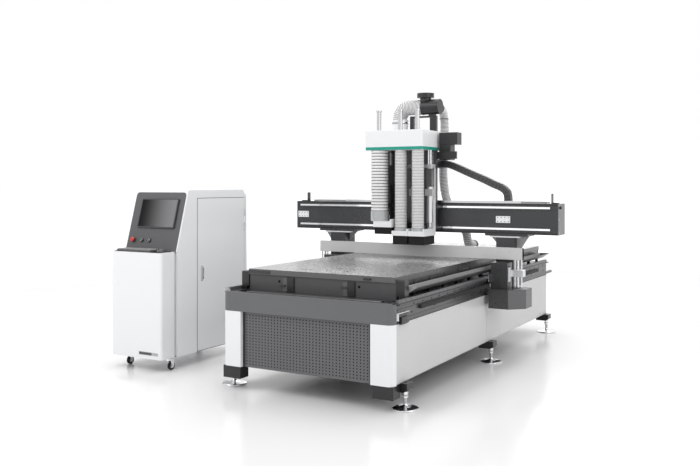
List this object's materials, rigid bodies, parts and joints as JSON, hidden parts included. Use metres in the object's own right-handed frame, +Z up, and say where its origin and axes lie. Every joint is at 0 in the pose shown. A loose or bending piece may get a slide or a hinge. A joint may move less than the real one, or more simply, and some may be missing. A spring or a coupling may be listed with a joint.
{
  "type": "cnc router",
  "caption": "Gantry CNC router with a long metal table, side by side dust-hooded spindles on a cross carriage, and a separate sloping-front control cabinet.",
  "frame": {"origin": "on the floor below the middle of the whole outline", "axes": "+X to the right seen from the front, +Y from the front fascia to the rear, +Z up"},
  "size_m": [3.267, 3.725, 2.31],
  "materials": {
    "white_panel": "satin",
    "dark_frame": "satin",
    "fascia_grey": "satin",
    "gantry_grey": "satin",
    "black_grille": "matt",
    "table_metal": "ground",
    "bright_steel": "ground",
    "silver_plate": "satin",
    "light_grey": "satin",
    "foot_chrome": "polished",
    "tray_metal": "satin",
    "shoe_grey": "matt",
    "hose_grey": "ribbed",
    "black_plastic": "matt",
    "black_gloss": "gloss",
    "console_grey": "satin",
    "key_grey": "matt",
    "estop_red": "gloss",
    "key_green": "gloss",
    "wheel_rubber": "matt",
    "motor_black": "painted",
    "spindle_silver": "turned",
    "spindle_dark": "anodised"
  },
  "bodies": {
    "bed": {"side_beams": "dark_frame", "frame_members": "dark_frame", "front_fascia": "fascia_grey", "corner_posts": "white_panel", "front_grille": "black_grille", "body_panels": "white_panel", "foot_brackets": "dark_frame", "levelling_feet": "foot_chrome", "table_posts": "dark_frame", "table_top": "table_metal", "table_front": "dark_frame", "y_rails": "bright_steel", "chip_trays": "tray_metal", "locating_cylinders": "silver_plate", "cabinet_shell": "white_panel", "cabinet_cover": "white_panel", "console_panel": "console_grey", "monitor": "black_gloss", "keyboard_and_mouse": "key_grey"},
    "cabinet_door": {"cabinet_door": "white_panel"},
    "door_handle": {"door_handle": "black_plastic"},
    "estop_button": {"estop_button": "estop_red"},
    "start_button": {"start_button": "key_green"},
    "stop_button": {"stop_button": "key_green"},
    "caster_fork_left": {"caster_fork_left": "foot_chrome"},
    "caster_fork_right": {"caster_fork_right": "foot_chrome"},
    "caster_wheel_left": {"caster_wheel_left": "wheel_rubber"},
    "caster_wheel_right": {"caster_wheel_right": "wheel_rubber"},
    "rear_caster_wheels": {"rear_caster_wheels": "wheel_rubber"},
    "locating_pins": {"locating_pins": "bright_steel"},
    "gantry": {"gantry_beam": "gantry_grey", "beam_fittings": "silver_plate", "gantry_legs": "gantry_grey", "drive_covers": "gantry_grey", "y_carriages": "bright_steel", "y_motors": "motor_black", "x_rails": "bright_steel", "lift_blocks": "silver_plate"},
    "pusher_bar": {"pusher_bar": "light_grey"},
    "pinion_left": {"pinion_left": "bright_steel"},
    "pinion_right": {"pinion_right": "bright_steel"},
    "carriage": {"carriage_plate": "gantry_grey", "hood": "white_panel", "duct_tee": "black_plastic", "duct_hoses": "hose_grey", "x_chain": "black_plastic", "head_boxes": "black_plastic"},
    "pinion_x": {"pinion_x": "bright_steel"},
    "head_left": {"spindle_left": "spindle_dark", "dust_shoe_left": "shoe_grey", "hose_left": "hose_grey"},
    "rotor_left": {"rotor_left": "bright_steel"},
    "head_mid": {"spindle_mid": "spindle_silver", "dust_shoe_mid": "shoe_grey", "hose_mid": "hose_grey"},
    "rotor_mid": {"rotor_mid": "bright_steel"},
    "head_right": {"spindle_right": "spindle_silver", "dust_shoe_right": "shoe_grey", "hose_right": "hose_grey"},
    "rotor_right": {"rotor_right": "bright_steel"}
  },
  "joints": [
    {"name": "gantry_y", "type": "slide", "parent": "bed", "child": "gantry", "axis": [0, 1, 0], "range_m": [-1.3, 1.3]},
    {"name": "carriage_x", "type": "slide", "parent": "gantry", "child": "carriage", "axis": [1, 0, 0], "range_m": [-0.76, 0.78]},
    {"name": "z_left", "type": "slide", "parent": "carriage", "child": "head_left", "axis": [0, 0, 1], "range_m": [-0.19, 0.01], "deforming": ["hose_left"]},
    {"name": "rotor_left_spin", "type": "hinge", "parent": "head_left", "child": "rotor_left", "pos_m": [0.1335, -0.1245, 1.1], "axis": [0, 0, 1], "continuous": true},
    {"name": "z_mid", "type": "slide", "parent": "carriage", "child": "head_mid", "axis": [0, 0, 1], "range_m": [-0.105, 0.05], "deforming": ["hose_mid"]},
    {"name": "rotor_mid_spin", "type": "hinge", "parent": "head_mid", "child": "rotor_mid", "pos_m": [0.3835, -0.1245, 1.1], "axis": [0, 0, 1], "continuous": true},
    {"name": "z_right", "type": "slide", "parent": "carriage", "child": "head_right", "axis": [0, 0, 1], "range_m": [-0.105, 0.05], "deforming": ["hose_right"]},
    {"name": "rotor_right_spin", "type": "hinge", "parent": "head_right", "child": "rotor_right", "pos_m": [0.5355, -0.1245, 1.1], "axis": [0, 0, 1], "continuous": true},
    {"name": "pusher_lift", "type": "slide", "parent": "gantry", "child": "pusher_bar", "axis": [0, 0, 1], "range_m": [0, 0.12]},
    {"name": "pinion_right_spin", "type": "hinge", "parent": "gantry", "child": "pinion_right", "pos_m": [1.1015, -0.0625, 0.655], "axis": [0, 0, 1], "continuous": true},
    {"name": "pinion_left_spin", "type": "hinge", "parent": "gantry", "child": "pinion_left", "pos_m": [-0.4145, -0.0625, 0.655], "axis": [0, 0, 1], "continuous": true},
    {"name": "pinion_x_spin", "type": "hinge", "parent": "carriage", "child": "pinion_x", "pos_m": [0.4435, 0.0745, 1.353], "axis": [0, 0, 1], "continuous": true},
    {"name": "pins_rise", "type": "slide", "parent": "bed", "child": "locating_pins", "axis": [0, 0, 1], "range_m": [0, 0.03]},
    {"name": "door_swing", "type": "hinge", "parent": "bed", "child": "cabinet_door", "pos_m": [-1.0525, -0.6665, 0.745], "axis": [0, 0, 1], "range_deg": [0, 9]},
    {"name": "handle_turn", "type": "hinge", "parent": "cabinet_door", "child": "door_handle", "pos_m": [-1.0525, -1.2565, 0.792], "axis": [1, 0, 0], "range_deg": [0, 90]},
    {"name": "estop_press", "type": "slide", "parent": "bed", "child": "estop_button", "axis": [0, 0.9616, -0.2745], "range_m": [0, 0.004], "stiffness_N_per_m": 800, "springref_m": -0.001},
    {"name": "start_press", "type": "slide", "parent": "bed", "child": "start_button", "axis": [0, 0.9616, -0.2745], "range_m": [0, 0.004], "stiffness_N_per_m": 800, "springref_m": -0.001},
    {"name": "stop_press", "type": "slide", "parent": "bed", "child": "stop_button", "axis": [0, 0.9616, -0.2745], "range_m": [0, 0.004], "stiffness_N_per_m": 800, "springref_m": -0.001},
    {"name": "caster_swivel_left", "type": "hinge", "parent": "bed", "child": "caster_fork_left", "pos_m": [-1.5445, -1.6225, 0.09], "axis": [0, 0, 1], "continuous": true},
    {"name": "caster_roll_left", "type": "hinge", "parent": "caster_fork_left", "child": "caster_wheel_left", "pos_m": [-1.5445, -1.5905, 0.035], "axis": [1, 0, 0], "continuous": true},
    {"name": "caster_swivel_right", "type": "hinge", "parent": "bed", "child": "caster_fork_right", "pos_m": [-1.0965, -1.6225, 0.09], "axis": [0, 0, 1], "continuous": true},
    {"name": "caster_roll_right", "type": "hinge", "parent": "caster_fork_right", "child": "caster_wheel_right", "pos_m": [-1.0965, -1.5905, 0.035], "axis": [1, 0, 0], "continuous": true},
    {"name": "rear_casters_roll", "type": "hinge", "parent": "bed", "child": "rear_caster_wheels", "pos_m": [-1.3205, -0.7125, 0.035], "axis": [1, 0, 0], "continuous": true}
  ],
  "couplings": [
    {"joint": "pinion_right_spin", "follows": "gantry_y", "rad_per_m": 25},
    {"joint": "pinion_left_spin", "follows": "gantry_y", "rad_per_m": -25},
    {"joint": "pinion_x_spin", "follows": "carriage_x", "rad_per_m": -25}
  ]
}
